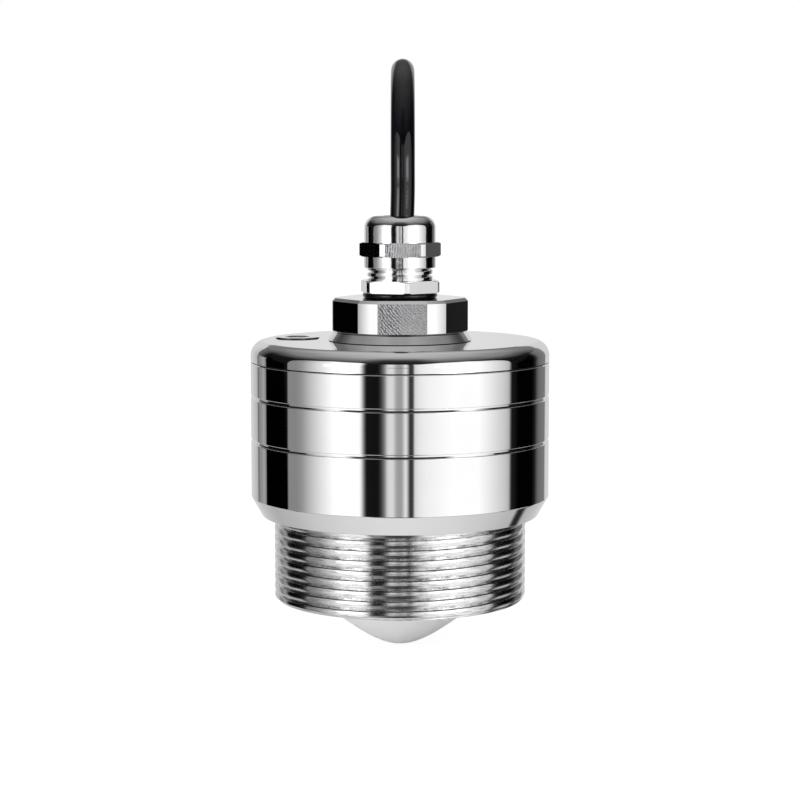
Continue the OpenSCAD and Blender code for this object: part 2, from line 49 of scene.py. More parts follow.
camera_data = bpy.data.cameras.new("camera")
camera_data.sensor_width = 36
camera_data.lens = CAMERA_LENS
camera_data.clip_start = 0.01
camera_data.clip_end = 20
camera = bpy.data.objects.new("camera", camera_data)
camera.location = CAMERA_AT
camera.rotation_euler = (math.radians(90) - CAMERA_TILT, 0, 0)
bpy.context.scene.collection.objects.link(camera)
bpy.context.scene.camera = camera

# Sizes in millimetres and angles in degrees. The main ones are those of the part's source.

HOUSING_R, HOUSING_H, INNER_R = 35.2, 36.2, 31.35
SEAT_R, CHAMFER_H, FLOOR_H = 32.7, 4.5, 8
GROOVE_LOW_H, GROOVE_HIGH_H = 17.6, 27.9
GROOVE_W, GROOVE_DEPTH, GROOVE_ROUND = 0.65, 0.5, 0.18
THREAD_R, THREAD_END, PITCH, THREAD_CUT, CREST_Z = 29.8, -20, 2.309, 0.95, -18.25
CORE_R, THREAD_FOOT_R, THREAD_BEVEL_R = 28.2, 28.9, 29.1
LIP_R, LIP_Z, BORE_R = 22, -14, 25
LENS_TIP_Z, LENS_TOP_Z, LENS_EDGE_R = -31.5, -8.2, 24.95
LENS_NECK_R, LENS_TIP_R, LENS_OPEN = LIP_R - 0.05, 10.5, 1.2

CAP_TOP, CAP_ROUND, CAP_FOOT, SPIGOT_R = 41.2, 3.5, 31.2, 31.3
CAP_BORE_R, BOSS_R, RECESS_R, RECESS_TOP = 10.05, 13.4, 19, 36.7
SEAM_H, SEAM_DEPTH = 0.22, 0.5
PLUG_AT, PLUG_TURN = 25.1, 167
PLUG = (PLUG_AT * math.cos(math.radians(PLUG_TURN)), PLUG_AT * math.sin(math.radians(PLUG_TURN)))
PLUG_HOLE_R, PLUG_HOLE_Z, PLUG_R, PLUG_Z, PLUG_TOP = 5.25, 37.8, 5.2, 38.8, 41.5
SOCKET_AF, SOCKET_Z, RIM_AF, RIM_Z = 5, 39.3, 5.25, 41.34

ADAPTER_TOP, ADAPTER_R, ADAPTER_AF, ADAPTER_BEVEL = 51.2, 16.05, 30, 0.7
ADAPTER_TURN = 2.1
FLARE_R, FLARE_NECK_R, FLARE_H = 17, 15.72, 2.4
NIPPLE_R, NIPPLE_BORE_R = 10, 5

GASKET_TOP, HEX_TOP, NUT_Z, TUBE_TOP = 52.45, 55.3, 58.2, 62.5
ENTRY_R, ENTRY_Z, CABLE_WAY_R = 7.6, 44.2, 4
HEX_AF, HEX_CORNER_R, HEX_BORE_R, HEX_TURN = 17.25, 9.64, 6.5, 39.8
TUBE_R, TUBE_BORE_R, SEAL_FOOT = 7.0, 6.25, 57.1
GLAND_R, GLAND_CUT, GLAND_PITCH, GLAND_CREST_Z = 7.7, 0.7, 1.41, 57.3
NUT_HEX_Z, NUT_DOME_Z, NUT_TOP = 60.85, 64.2, 70.35
NUT_R, NUT_AF, NUT_CORNER_R, NUT_ROUND, NUT_TURN = 8.375, 17.25, 9.6, 2.75, 4.4
NUT_BORE_R, CONE_R, CONE_TIP_R = 7.75, 6.8, 5.4
CONE_Z, CONE_MID_Z, CONE_TIP_Z = 63.6, 66.1, 67.8
EXIT_R, EXIT_ROUND = 3.65, 0.6

CABLE_D = 5.7
ROUTE_Z = 44
COIL_Y, COIL_Z, COIL_R, COIL_TURNS = 82.7, 8.05, 31, 9

# Tools for the cord. Late in each turn of the coil the cable shifts to the next turn's place,
# and it swells out sideways where that is in another layer. The last turn moves round to the
# side of the winding, where the free end hangs.

SHIFT_FROM, SHIFT_OVER = 232.5, 105
CLIMB_SWELL = 1.3
SIDE_FROM, SIDE_TO = (COIL_TURNS - 1) * 360 - 22, (COIL_TURNS - 1) * 360 + 110
TAIL_X, TAIL_Y = 2 * CABLE_D, COIL_Y - COIL_R


def smooth(u):
    """From 0 to 1 with a soft start and end."""
    u = min(max(u, 0), 1)
    return u * u * (3 - 2 * u)


def coil_slot(number):
    """A turn's place to the side and its radius: three layers of three, from the outside in."""
    layer, place = divmod(min(number, COIL_TURNS - 1), 3)
    side = CABLE_D if layer == 1 else -CABLE_D
    return side * (1 - place), COIL_R + (1 - layer) * CABLE_D


def coil_point(phi):
    """A point of the winding, with phi in degrees from the point nearest the gauge, down first."""
    if phi > SIDE_FROM:
        a = math.radians(-90 + 90 * smooth((phi - SIDE_FROM) / (SIDE_TO - SIDE_FROM)))
        x, r = CABLE_D + CABLE_D * math.cos(a), COIL_R + CABLE_D * math.sin(a)
    else:
        number = int(phi // 360)
        u = smooth((phi - number * 360 - SHIFT_FROM) / SHIFT_OVER)
        (x0, r0), (x1, r1) = coil_slot(number), coil_slot(number + 1)
        x, r = x0 + (x1 - x0) * u, r0 + (r1 - r0) * u
        if r0 != r1:
            x += math.copysign(CLIMB_SWELL, x0) * math.sin(math.pi * u)
    p = math.radians(phi)
    return (x, COIL_Y - r * math.cos(p), COIL_Z - r * math.sin(p))


def through(points, parts):
    """Points of a smooth line through the given ones."""
    p = [Vector(v) for v in points]
    p = [2 * p[0] - p[1]] + p + [2 * p[-1] - p[-2]]
    out = []
    for a, b, c, d in zip(p, p[1:], p[2:], p[3:]):
        for k in range(parts):
            t = k / parts
            out.append(0.5 * (2 * b + (c - a) * t + (2 * a - 5 * b + 4 * c - d) * t ** 2
                              + (3 * b - a - 3 * c + d) * t ** 3))
    return out + [p[-2]]


def tube_data(points, radius, sides):
    """A tube about the points, with a frame that doesn't twist, and closed ends."""
    verts, faces = [], []
    across = Vector((1, 0, 0))
    for i, at in enumerate(points):
        t = (points[min(i + 1, len(points) - 1)] - points[max(i - 1, 0)]).normalized()
        across = (across - t * across.dot(t)).normalized()
        up = t.cross(across)
        for k in range(sides):
            a = TAU * k / sides
            verts.append((at + radius * (math.cos(a) * across + math.sin(a) * up)) * MM)
    for i in range(len(points) - 1):
        for k in range(sides):
            m = (k + 1) % sides
            faces.append([i * sides + k, i * sides + m, (i + 1) * sides + m, (i + 1) * sides + k])
    last = (len(points) - 1) * sides
    faces += [list(range(sides))[::-1], [last + k for k in range(sides)]]
    return verts, faces


# The cord: up out of the gland, over behind itself, and into the coil behind the housing

ARC_R, ARC_X, ARC_Z = 23, 0.65, 38
ROUTE = [
    (0, 0, 0), (0, 0, 10), (0.2, 0, 20), (0.5, 0, 26), (ARC_X, 0, 32), (ARC_X, 0, ARC_Z),
    *[(ARC_X, ARC_R - ARC_R * math.cos(math.radians(a)), ARC_Z + ARC_R * math.sin(math.radians(a)))
      for a in range(15, 180, 15)],
    (ARC_X, 2 * ARC_R, ARC_Z), (ARC_X, 46, 31), (0.3, 46, 23), (-0.8, 46, 14), (-2.4, 46, 5.5),
    (-4.1, 46, -3), (-5.3, 46, -9), (-5.7, 46, -15.4)
]
line = [(x, y, z + ROUTE_Z) for x, y, z in ROUTE]
line += [(-5.7, 46, 18)]
line += [coil_point(phi) for phi in np.arange(0, COIL_TURNS * 360 + 0.1, 18)]
line += [(TAIL_X, TAIL_Y, 1), (TAIL_X, TAIL_Y, -9)]

cable_line = through(line, 4)
cable_mesh = bpy.data.meshes.new("cable_run")
tube_verts, tube_faces = tube_data(cable_line, CABLE_D / 2, 28)
cable_mesh.from_pydata([tuple(v) for v in tube_verts], [], tube_faces)
cable_mesh.polygons.foreach_set("use_smooth", [True] * len(cable_mesh.polygons))
cable_mesh.set_sharp_from_angle(angle=math.radians(50))
cable = bpy.data.objects.new("cable_run", cable_mesh)
bpy.context.scene.collection.objects.link(cable)
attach(cable, "root")
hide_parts("cable", "cable_coil", "cable_tail")


# Material tools

def value(socket, number):
    socket.default_value = number


class Paint:
    """A procedural material with a Principled shader, in the object's own coordinates."""

    def __init__(self, name):
        self.material = bpy.data.materials.new(name)
        self.material.use_nodes = True
        self.tree = self.material.node_tree
        self.shader = self.tree.nodes["Principled BSDF"]
        self.coords = self.tree.nodes.new("ShaderNodeTexCoord")

    def node(self, kind, **settings):
        n = self.tree.nodes.new(kind)
        for key, v in settings.items():
            setattr(n, key, v)
        return n

    def link(self, a, b):
        self.tree.links.new(a, b)

    def scaled(self, x, y=None, z=None):
        """Object coordinates, stretched per metre by one factor or by three."""
        n = self.node("ShaderNodeMapping")
        n.inputs["Scale"].default_value = (x, y or x, z or x)
        self.link(self.coords.outputs["Object"], n.inputs["Vector"])
        return n.outputs["Vector"]

    def round_coords(self, per_r, per_turn, per_z):
        """Radius, angle and height about the vertical axis, scaled."""
        split = self.node("ShaderNodeSeparateXYZ")
        self.link(self.coords.outputs["Object"], split.inputs[0])
        flat = self.node("ShaderNodeCombineXYZ")
        self.link(split.outputs["X"], flat.inputs["X"])
        self.link(split.outputs["Y"], flat.inputs["Y"])
        length = self.node("ShaderNodeVectorMath", operation="LENGTH")
        self.link(flat.outputs[0], length.inputs[0])
        unit = self.node("ShaderNodeVectorMath", operation="NORMALIZE")
        self.link(flat.outputs[0], unit.inputs[0])
        turn = self.node("ShaderNodeSeparateXYZ")
        self.link(unit.outputs[0], turn.inputs[0])
        out = self.node("ShaderNodeCombineXYZ")
        height = self.math("MULTIPLY", split.outputs["Z"], per_z)
        radius = self.math("MULTIPLY", length.outputs["Value"], per_r)
        self.link(self.math("ADD", height, radius), out.inputs["X"])
        self.link(self.math("MULTIPLY", turn.outputs["X"], per_turn), out.inputs["Y"])
        self.link(self.math("MULTIPLY", turn.outputs["Y"], per_turn), out.inputs["Z"])
        return out.outputs[0]

    def math(self, operation, a, b=0.0, c=None):
        """A math node; each of its inputs is a number or a socket."""
        n = self.node("ShaderNodeMath", operation=operation)
        for i, v in enumerate((a, b, c)):
            if v is None:
                continue
            if isinstance(v, (int, float)):
                n.inputs[i].default_value = v
            else:
                self.link(v, n.inputs[i])
        return n.outputs[0]

    def noise(self, vector, detail, rough):
        n = self.node("ShaderNodeTexNoise")
        value(n.inputs["Scale"], 1.0)
        value(n.inputs["Detail"], detail)
        value(n.inputs["Roughness"], rough)
        self.link(vector, n.inputs["Vector"])
        return n.outputs["Fac"]

    def ramp(self, factor, *stops):
        """Stops are (place, number or colour)."""
        n = self.node("ShaderNodeValToRGB")
        points = n.color_ramp.elements
        while len(points) < len(stops):
            points.new(0.5)
        for point, (place, c) in zip(points, sorted(stops, key=lambda s: s[0])):
            point.position = place
            point.color = (c, c, c, 1) if isinstance(c, (int, float)) else (*c, 1)
        self.link(factor, n.inputs["Fac"])
        return n.outputs["Color"]

    def span(self, factor, low, high):
        """Spreads the middle of a noise over the range from low to high."""
        n = self.node("ShaderNodeMapRange")
        value(n.inputs["From Min"], 0.3)
        value(n.inputs["From Max"], 0.7)
        value(n.inputs["To Min"], low)
        value(n.inputs["To Max"], high)
        self.link(factor, n.inputs["Value"])
        return n.outputs["Result"]

    def bump(self, height, strength, distance, normal=None):
        n = self.node("ShaderNodeBump")
        value(n.inputs["Strength"], strength)
        value(n.inputs["Distance"], distance)
        self.link(height, n.inputs["Height"])
        if normal is not None:
            self.link(normal, n.inputs["Normal"])
        return n.outputs["Normal"]

    def set(self, **inputs):
        """Sets or links inputs of the shader, with _ for the spaces in their names."""
        for key, v in inputs.items():
            name = key.replace("_", " ")
            if isinstance(v, bpy.types.NodeSocket):
                self.link(v, self.shader.inputs[name])
            else:
                self.shader.inputs[name].default_value = v
        return self


def metal(name, colour, rough, lines, waves=0.0, grain=0.0):
    """Turned and polished metal: fine rings, a slow waviness and a fine grain."""
    p = Paint(name)
    rings = p.noise(p.round_coords(5200, 1.2, 5200), 2, 0.6)
    cloud = p.noise(p.scaled(90), 4, 0.6)
    specks = p.noise(p.scaled(1500), 3, 0.7)
    tint = p.ramp(cloud, (0.3, [c * 0.96 for c in colour]), (0.7, colour))
    p.set(Base_Color=tint, Metallic=1.0)
    spread = p.math("ADD", p.span(cloud, rough * 0.75, rough * 1.25),
                    p.math("MULTIPLY", specks, rough * 0.3))
    p.set(Roughness=spread)
    normal = p.bump(rings, lines, 0.00002)
    if waves:
        slow = p.noise(p.scaled(260), 2, 0.5)
        normal = p.bump(slow, waves, 0.0004, normal)
    if grain:
        normal = p.bump(specks, grain, 0.00008, normal)
    p.set(Normal=normal)
    return p.material


def moulded(name, colour, rough, grain=0.15):
    """Moulded plastic or rubber: a fine grain, cloudy gloss and slight colour changes."""
    p = Paint(name)
    cloud = p.noise(p.scaled(120), 4, 0.6)
    fine = p.noise(p.scaled(900), 4, 0.6)
    p.set(Base_Color=p.ramp(cloud, (0.3, [c * 0.8 for c in colour]), (0.7, colour)))
    p.set(Roughness=p.span(cloud, rough * 0.85, rough * 1.15))
    p.set(Normal=p.bump(fine, grain, 0.00005))
    return p.material


STEEL = metal("polished_steel", (0.93, 0.93, 0.94), 0.035, lines=0.02)
STEEL_TOP = metal("polished_steel_cap", (0.93, 0.93, 0.94), 0.035, lines=0.015)
NICKEL = metal("nickel", (0.91, 0.91, 0.905), 0.06, lines=0.05, waves=0.13)
NICKEL_FLAT = metal("nickel_flats", (0.91, 0.91, 0.905), 0.07, lines=0.02)
SATIN = metal("satin_socket", (0.85, 0.85, 0.86), 0.5, lines=0.1)
TURNED = metal("turned_aluminium", (0.86, 0.86, 0.87), 0.22, lines=0.4)
TINNED = metal("tinned_steel", (0.78, 0.78, 0.77), 0.3, lines=0.05, grain=0.2)
BRASS = metal("yellow_brass", (0.83, 0.66, 0.33), 0.2, lines=0.3)
SCREW = metal("screw_steel", (0.72, 0.72, 0.73), 0.25, lines=0.2)
CAN = metal("capacitor_can", (0.25, 0.27, 0.36), 0.25, lines=0.1)
# Black paint that stands in for the shade in narrow gaps: painted shade at the seam under the cap
# and at the step under the adapter's flare.
PAINTED_GAP_SHADE = moulded("painted_gap_shade", (0.01, 0.01, 0.01), 0.7)
RUBBER = moulded("black_rubber", (0.004, 0.004, 0.004), 0.12, grain=0.05)
SEAL = moulded("seal_rubber", (0.07, 0.07, 0.07), 0.6, grain=0.3)
CLAW = moulded("claw_plastic", (0.8, 0.79, 0.75), 0.4)
CHIP = moulded("chip_black", (0.02, 0.02, 0.02), 0.45, grain=0.4)
CORE_MAT = moulded("transformer_core", (0.06, 0.055, 0.05), 0.6, grain=0.6)
TERMINAL = moulded("terminal_green", (0.05, 0.32, 0.1), 0.4)
SLEEVES = moulded("core_sleeves", (0.7, 0.62, 0.5), 0.35)


def thread_steel():
    """Cut thread: streaks along the helix and fine specks over a mirror shine."""
    p = Paint("thread_steel")
    cloud = p.noise(p.scaled(60), 4, 0.6)
    streaks = p.noise(p.round_coords(9000, 9, 9000), 3, 0.7)
    specks = p.noise(p.scaled(2200), 3, 0.75)
    mix = p.math("MULTIPLY", streaks, specks)
    shine = p.math("MULTIPLY_ADD", mix, 0.5, streaks)
    p.set(Base_Color=p.ramp(shine, (0.42, 0.4), (0.68, 0.9)), Metallic=1.0)
    p.set(Roughness=p.math("ADD", p.span(cloud, 0.08, 0.14), p.math("MULTIPLY", mix, 0.12)))
    normal = p.bump(streaks, 0.12, 0.00003)
    p.set(Normal=p.bump(specks, 0.1, 0.00004, normal))
    return p.material


def milled_steel(name, scale, centre, share, strength):
    """Milled flats: the curved marks of the cutter over finer straight ones.

    The marks' circles lie about the centre, and share gives their depth from left to right.
    """
    p = Paint(name)
    split = p.node("ShaderNodeSeparateXYZ")
    p.link(p.coords.outputs["Object"], split.inputs[0])
    warp = p.noise(p.scaled(500), 3, 0.65)
    arcs = p.node("ShaderNodeTexWave", wave_type="RINGS", rings_direction="Y")
    value(arcs.inputs["Scale"], scale)
    value(arcs.inputs["Distortion"], 8)
    value(arcs.inputs["Detail"], 4)
    value(arcs.inputs["Detail Scale"], 1.8)
    value(arcs.inputs["Detail Roughness"], 0.65)
    place = p.node("ShaderNodeMapping")
    place.inputs["Location"].default_value = centre
    p.link(p.coords.outputs["Object"], place.inputs["Vector"])
    p.link(place.outputs["Vector"], arcs.inputs["Vector"])
    lines = p.noise(p.scaled(90, 90, 3000), 2, 0.5)
    across = p.math("MULTIPLY_ADD", split.outputs["X"], 100.0, 0.5)
    marks = p.math("MULTIPLY", arcs.outputs["Fac"], warp)
    marks = p.math("MULTIPLY", marks, p.ramp(across, *share))
    height = p.math("ADD", marks, p.math("MULTIPLY", lines, 0.5))
    tint = p.ramp(marks, (0.05, (0.92, 0.91, 0.93)), (0.36, (0.36, 0.35, 0.38)))
    p.set(Base_Color=tint, Metallic=1.0)
    p.set(Roughness=p.span(warp, 0.12, 0.22))
    p.set(Normal=p.bump(height, strength, 0.00012))
    return p.material


def white_lens():
    """Satin white plastic, with the faint rings of its turning."""
    p = Paint("white_lens")
    rings = p.noise(p.round_coords(3000, 0.8, 3000), 2, 0.6)
    cloud = p.noise(p.scaled(70), 4, 0.55)
    fine = p.noise(p.scaled(1800), 3, 0.6)
    p.set(Base_Color=p.ramp(cloud, (0.3, (0.84, 0.84, 0.84)), (0.7, (0.88, 0.88, 0.875))))
    p.set(Roughness=p.span(cloud, 0.42, 0.52))
    p.set(Normal=p.bump(fine, 0.1, 0.00003, p.bump(rings, 0.12, 0.00003)))
    return p.material


def sheath():
    """Glossy black cable sheath with a slow waviness and fine handling marks."""
    p = Paint("black_sheath")
    cloud = p.noise(p.scaled(150), 3, 0.6)
    marks = p.noise(p.scaled(1400, 1400, 300), 4, 0.7)
    p.set(Base_Color=p.ramp(cloud, (0.3, (0.002, 0.002, 0.003)), (0.7, (0.005, 0.005, 0.007))))
    p.set(Roughness=p.span(marks, 0.04, 0.08), Specular_IOR_Level=0.5)
    p.set(Normal=p.bump(cloud, 0.06, 0.0004, p.bump(marks, 0.05, 0.00003)))
    return p.material


def board_green():
    """Solder mask with a faint pattern of tracks and pads under it."""
    p = Paint("board_green")
    cells = p.node("ShaderNodeTexVoronoi", feature="DISTANCE_TO_EDGE", distance="CHEBYCHEV")
    value(cells.inputs["Scale"], 420)
    p.link(p.coords.outputs["Object"], cells.inputs["Vector"])
    tracks = p.ramp(cells.outputs["Distance"], (0.06, (0.02, 0.2, 0.07)), (0.1, (0.01, 0.12, 0.04)))
    cloud = p.noise(p.scaled(200), 3, 0.6)
    p.set(Base_Color=tracks, Roughness=p.span(cloud, 0.25, 0.4))
    p.set(Normal=p.bump(cells.outputs["Distance"], 0.2, 0.00005))
    return p.material


def strap_fabric():
    """Black woven hook-and-loop strap."""
    p = Paint("strap_fabric")
    weave = p.node("ShaderNodeTexWave", wave_type="BANDS", bands_direction="Z")
    value(weave.inputs["Scale"], 900)
    value(weave.inputs["Distortion"], 1.5)
    p.link(p.coords.outputs["Object"], weave.inputs["Vector"])
    cross = p.node("ShaderNodeTexWave", wave_type="BANDS", bands_direction="X")
    value(cross.inputs["Scale"], 700)
    value(cross.inputs["Distortion"], 1.5)
    p.link(p.coords.outputs["Object"], cross.inputs["Vector"])
    fuzz = p.noise(p.scaled(3000), 3, 0.7)
    height = p.math("MULTIPLY", weave.outputs["Fac"], cross.outputs["Fac"])
    p.set(Base_Color=p.ramp(fuzz, (0.3, (0.012, 0.012, 0.013)), (0.7, (0.04, 0.04, 0.042))))
    p.set(Roughness=p.span(fuzz, 0.75, 0.95), Sheen_Weight=0.3)
    p.set(Normal=p.bump(fuzz, 0.5, 0.0001, p.bump(height, 0.6, 0.0002)))
    return p.material


THREAD_STEEL = thread_steel()
MILLED = milled_steel("milled_steel", 500, (-0.014, 0, -0.062),
                      ((0.0, 0.3), (0.1, 1.0), (0.36, 0.85), (0.62, 0.3)), 0.55)
MILLED_NUT = milled_steel("milled_nut", 520, (0.02, 0, -0.064),
                          ((0.14, 0.1), (0.2, 1.0), (0.32, 0.9), (0.42, 0.12)), 0.5)
LENS_MAT = white_lens()
SHEATH = sheath()
BOARD = board_green()
STRAP = strap_fabric()
cable_mesh.materials.append(SHEATH)


# Mesh tools

def add_object(name, verts, faces, material, sharp=25):
    """A smooth-shaded object, with edges above the angle sharp in degrees kept sharp."""
    mesh = bpy.data.meshes.new(name)
    mesh.from_pydata([tuple(v) for v in verts], [], [list(f) for f in faces])
    mesh.validate()
    mesh.polygons.foreach_set("use_smooth", [True] * len(mesh.polygons))
    mesh.set_sharp_from_angle(angle=math.radians(sharp))
    mesh.materials.append(material)
    obj = bpy.data.objects.new(name, mesh)
    bpy.context.scene.collection.objects.link(obj)
    return obj


def revolve_data(profile, steps):
    """A closed profile of (radius, height) in millimetres, turned about Z into a closed mesh."""
    angles = np.arange(steps) * TAU / steps
    verts, rows = [], []
    for r, z in profile:
        if r < 1e-6:
            rows.append([len(verts)] * steps)
            verts.append((0, 0, z * MM))
        else:
            start = len(verts)
            verts += [(r * math.cos(a) * MM, r * math.sin(a) * MM, z * MM) for a in angles]
            rows.append([start + k for k in range(steps)])
    faces = []
    count = len(profile)
    for i in range(count):
        a, b = rows[i], rows[(i + 1) % count]
        if len(set(a)) == 1 and len(set(b)) == 1:
            continue
        for k in range(steps):
            m = (k + 1) % steps
            ring = [a[k], a[m], b[m], b[k]]
            face = [v for n, v in enumerate(ring) if v != ring[n - 1]]
            if len(face) > 2:
                faces.append(face)
    return verts, faces


def revolve(name, profile, material, steps, sharp):
    """The profile goes up on the outside, so that the faces look outwards."""
    verts, faces = revolve_data(profile, steps)
    return add_object(name, verts, faces, material, sharp)


def fillet(r, z, radius, start, end, steps):
    """Points of an arc about (r, z), from one angle to another in degrees."""
    return [
        (r + radius * math.cos(math.radians(start + (end - start) * i / steps)),
         z + radius * math.sin(math.radians(start + (end - start) * i / steps)))
        for i in range(steps + 1)
    ]


def hexagon(af, z0, z1, turn, bevel=0.0):
    """A hexagonal bar; with a bevel its top is that much smaller all round."""
    rings = [(af, z0), (af, z1)]
    if bevel:
        rings = [(af, z0), (af, z1 - bevel), (af - 2 * bevel, z1)]
    verts = []
    for across, z in rings:
        for k in range(6):
            a = math.radians(turn + 60 * k)
            r = across / 2 / math.cos(math.pi / 6)
            verts.append((r * math.cos(a) * MM, r * math.sin(a) * MM, z * MM))
    faces = [[6 * n + k, 6 * n + (k + 1) % 6, 6 * n + 6 + (k + 1) % 6, 6 * n + 6 + k]
             for n in range(len(rings) - 1) for k in range(6)]
    top = 6 * len(rings) - 6
    faces += [[5, 4, 3, 2, 1, 0], [top + k for k in range(6)]]
    return verts, faces


def combine(obj, other, operation):
    """Applies a boolean with another object and removes that one.

    That one runs past the ends that it doesn't shape.
    """
    tool = obj.modifiers.new("cut", "BOOLEAN")
    tool.operation = operation
    tool.object = other
    tool.solver = "EXACT"
    bpy.context.view_layer.update()
    graph = bpy.context.evaluated_depsgraph_get()
    mesh = bpy.data.meshes.new_from_object(obj.evaluated_get(graph))
    obj.modifiers.clear()
    obj.data = mesh
    bpy.data.objects.remove(other)
    return obj


def finish_mesh(obj, sharp):
    """Smooth shading again, as a boolean loses it."""
    mesh = obj.data
    mesh.polygons.foreach_set("use_smooth", [True] * len(mesh.polygons))
    mesh.set_sharp_from_angle(angle=math.radians(sharp))
    return obj


def helix(name, r, depth, pitch, crest_z, low, high, material, steps, form, limit=None):
    """A right-hand thread: its section runs up the helix and ends at the heights low and high."""
    count = len(form)
    turns = int((high - low) / pitch) + 4
    start = crest_z - pitch * (int((crest_z - low) / pitch) + 2)
    verts, faces, out = [], [], []
    for j in range(steps + 1):
        a = TAU * j / steps
        for i in range(turns * count):
            z = start + pitch * (i // count + form[i % count][0] + j / steps)
            rad = r - depth * form[i % count][1]
            if limit is not None:
                rad = min(rad, limit(min(max(z, low), high)))
            out.append(z < low or z > high)
            z = min(max(z, low), high)
            verts.append((rad * math.cos(a) * MM, rad * math.sin(a) * MM, z * MM))
    rows = turns * count
    for j in range(steps):
        for i in range(rows - 1):
            face = [j * rows + i, (j + 1) * rows + i, (j + 1) * rows + i + 1, j * rows + i + 1]
            if not all(out[v] for v in face):
                faces.append(face)
    obj = add_object(name, verts, faces, material, 45)
    mesh = bmesh.new()
    mesh.from_mesh(obj.data)
    bmesh.ops.remove_doubles(mesh, verts=mesh.verts, dist=1e-6)
    bmesh.ops.dissolve_degenerate(mesh, edges=mesh.edges, dist=1e-7)
    loose = [v for v in mesh.verts if not v.link_faces]
    bmesh.ops.delete(mesh, geom=loose, context="VERTS")
    mesh.to_mesh(obj.data)
    mesh.free()
    return finish_mesh(obj, 45)


def round_crests(count, crest, radius, drop):
    """One pitch of a thread, as points of (share of the pitch, share of the depth).

    The crest takes its share of the pitch and is rounded, and the rest is the root.
    """
    points = []
    half = crest / 2
    foot = (radius - math.sqrt(radius ** 2 - half ** 2)) * drop
    for i in range(count):
        u = i / count
        v = min(u, 1 - u)
        if v <= half:
            d = (radius - math.sqrt(radius ** 2 - v ** 2)) * drop
        else:
            w = (v - half) / (0.5 - half)
            d = foot + (1 - foot) * (1 - (1 - w) ** 1.6)
        points.append((u, d))
    return points


def drum(name, x, y, r, z0, z1, steps=64):
    """An upright cylinder about (x, y)."""
    verts = [(x * MM + r * MM * math.cos(TAU * k / steps),
              y * MM + r * MM * math.sin(TAU * k / steps), z * MM)
             for z in (z0, z1) for k in range(steps)]
    faces = [[k, (k + 1) % steps, steps + (k + 1) % steps, steps + k] for k in range(steps)]
    faces += [list(range(steps))[::-1], list(range(steps, 2 * steps))]
    return add_object(name, verts, faces, STEEL)


def mill_front(obj, turn, material):
    """Gives the flat that faces front, turned by that angle, the milled steel."""
    obj.data.materials.append(material)
    for face in obj.data.polygons:
        n = face.normal
        off = math.degrees(math.atan2(n.y, n.x)) + 90 - turn
        if abs(n.z) < 0.01 and abs(off) < 0.5 and face.area > 1e-6:
            face.material_index = len(obj.data.materials) - 1


# Housing

def groove(z):
    """A groove with rounded edges; its outer points keep the shading of the wall straight."""
    r, w, d, e = HOUSING_R, GROOVE_W, GROOVE_DEPTH, GROOVE_ROUND
    return [(r, z - 0.3), *fillet(r - e, z - e - 0.04, e, 0, 90, 6), (r - d + 0.12, z - 0.04),
            (r - d, z + 0.3), (r - d, z + w + 0.04),
            *fillet(r - e, z + w + e + 0.04, e, -90, 0, 6), (r, z + w + 0.3)]


STEPS_FINE = 320
shell = revolve("housing_shell", [
    (CORE_R, 0), (SEAT_R - 0.1, 0), (SEAT_R, 0.08), (HOUSING_R - 0.114, CHAMFER_H - 0.2),
    (HOUSING_R - 0.04, CHAMFER_H - 0.07), (HOUSING_R, CHAMFER_H + 0.06),
    (HOUSING_R, CHAMFER_H + 0.12), *groove(GROOVE_LOW_H), *groove(GROOVE_HIGH_H),
    (HOUSING_R, HOUSING_H - 0.26), (HOUSING_R, HOUSING_H - 0.2), (HOUSING_R - 0.18, HOUSING_H),
    (INNER_R, HOUSING_H), (INNER_R, FLOOR_H), (BORE_R, FLOOR_H), (BORE_R, LIP_Z), (LIP_R, LIP_Z),
    (LIP_R, THREAD_END), (THREAD_FOOT_R, THREAD_END)
], STEEL, STEPS_FINE, 17)
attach(shell, "root")
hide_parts("housing")

thread = helix(
    "pipe_thread", THREAD_R, THREAD_CUT, PITCH, CREST_Z, THREAD_END, 0, THREAD_STEEL,
    240, round_crests(24, 0.7, 0.9, 0.7 * PITCH / THREAD_CUT),
    limit=lambda z: THREAD_BEVEL_R + (z - THREAD_END)
)
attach(thread, "root")
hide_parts("housing")

# Cap with its socket plug

cap = revolve("cap_lid", [
    (CAP_BORE_R, CAP_FOOT), (BOSS_R, CAP_FOOT), (BOSS_R, RECESS_TOP), (RECESS_R, RECESS_TOP),
    (RECESS_R, CAP_FOOT), (SPIGOT_R, CAP_FOOT), (SPIGOT_R, HOUSING_H),
    (HOUSING_R - SEAM_DEPTH, HOUSING_H), (HOUSING_R - SEAM_DEPTH, HOUSING_H + SEAM_H),
    (HOUSING_R - 0.06, HOUSING_H + SEAM_H), (HOUSING_R, HOUSING_H + SEAM_H + 0.06),
    (HOUSING_R, HOUSING_H + SEAM_H + 0.12), (HOUSING_R, CAP_TOP - CAP_ROUND),
    *fillet(HOUSING_R - CAP_ROUND, CAP_TOP - CAP_ROUND + 0.06, CAP_ROUND, 0, 79, 18),
    (CAP_BORE_R, CAP_TOP)
], STEEL_TOP, STEPS_FINE, 6)
# The seam's faces between housing and cap are painted black: painted shade in the narrow gap.
cap.data.materials.append(PAINTED_GAP_SHADE)
for face in cap.data.polygons:
    if HOUSING_H - 0.01 < face.center.z / MM < HOUSING_H + SEAM_H + 0.01:
        face.material_index = 1

combine(cap, drum("plug_cut", *PLUG, PLUG_HOLE_R, PLUG_HOLE_Z, 45), "DIFFERENCE")
finish_mesh(cap, 7)
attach(cap, "root")
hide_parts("cap")

